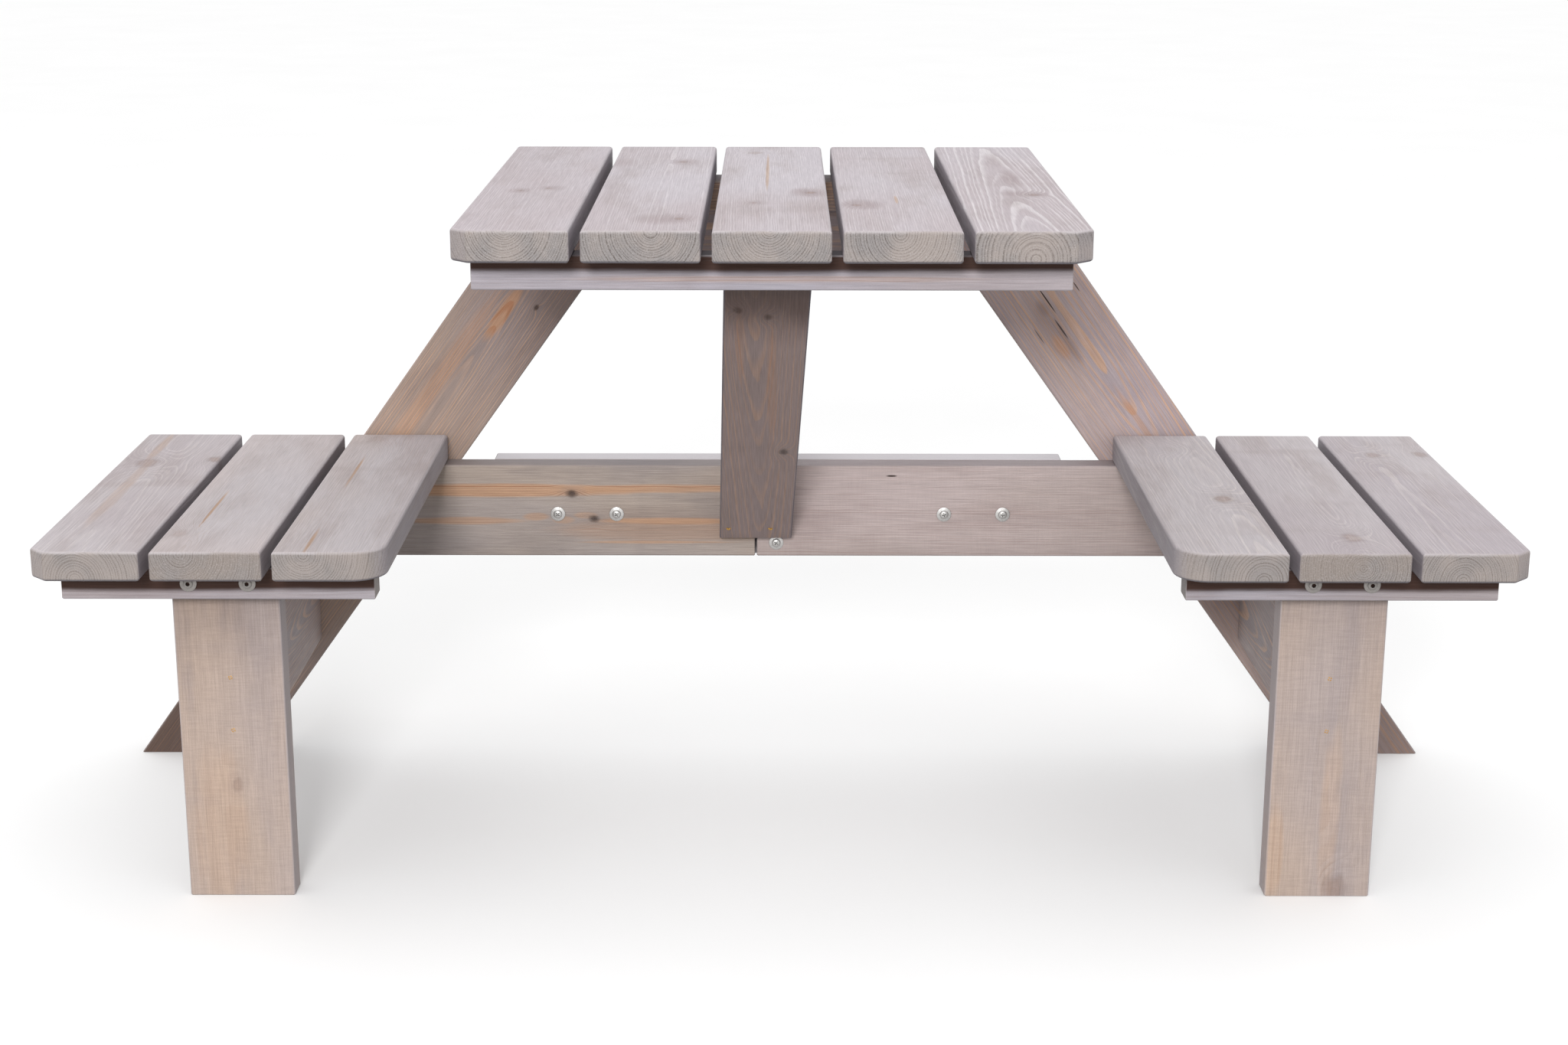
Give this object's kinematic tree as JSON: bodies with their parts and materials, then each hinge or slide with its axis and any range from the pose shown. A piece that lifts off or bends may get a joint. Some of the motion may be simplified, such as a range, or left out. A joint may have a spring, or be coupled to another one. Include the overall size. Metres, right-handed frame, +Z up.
{
  "type": "picnic table",
  "caption": "Compact wooden picnic table with a slatted top, a leaning-leg frame at the back and two slatted benches on front legs, one on each side.",
  "frame": {"origin": "on the ground, under the centre of the whole table's box", "axes": "+X to the right across both benches, +Y towards the leaning-leg frame at the back, +Z up"},
  "size_m": [1.624, 0.67, 0.765],
  "materials": {
    "top_wood": "satin translucent grey-mauve glaze over planed softwood",
    "seat_wood": "satin translucent grey glaze over planed softwood",
    "frame_wood": "satin translucent grey-brown glaze over planed softwood",
    "leg_wood": "satin translucent beige-grey glaze over planed softwood",
    "brace_wood": "satin translucent mauve-brown glaze over planed softwood",
    "zinc": "bright zinc plate",
    "brass": "yellow passivated plate"
  },
  "bodies": {
    "root": {"top_plank_1": "top_wood", "top_plank_2": "top_wood", "top_plank_3": "top_wood", "top_plank_4": "top_wood", "top_plank_5": "top_wood", "front_top_batten": "top_wood", "back_top_batten": "frame_wood", "left_seat_plank_1": "seat_wood", "left_seat_plank_2": "seat_wood", "left_seat_plank_3": "seat_wood", "left_seat_batten": "seat_wood", "left_front_leg": "leg_wood", "left_stretcher": "frame_wood", "left_a_leg": "frame_wood", "left_seat_beam": "frame_wood", "right_seat_plank_1": "seat_wood", "right_seat_plank_2": "seat_wood", "right_seat_plank_3": "seat_wood", "right_seat_batten": "seat_wood", "right_front_leg": "leg_wood", "right_stretcher": "frame_wood", "right_a_leg": "frame_wood", "right_seat_beam": "frame_wood", "splice_board": "frame_wood", "head_board": "frame_wood", "centre_brace": "brace_wood", "splice_screw_1": "zinc", "splice_screw_2": "zinc", "splice_screw_3": "zinc", "splice_screw_4": "zinc", "joint_screw_1": "zinc", "left_a_leg_screw_1": "zinc", "left_a_leg_screw_2": "zinc", "left_seat_bolt_1": "zinc", "left_seat_bolt_2": "zinc", "left_leg_screw_1": "brass", "left_leg_screw_2": "brass", "right_a_leg_screw_1": "zinc", "right_a_leg_screw_2": "zinc", "right_seat_bolt_1": "zinc", "right_seat_bolt_2": "zinc", "right_leg_screw_1": "brass", "right_leg_screw_2": "brass", "brace_screw_1": "brass", "brace_screw_2": "brass"}
  },
  "joints": []
}
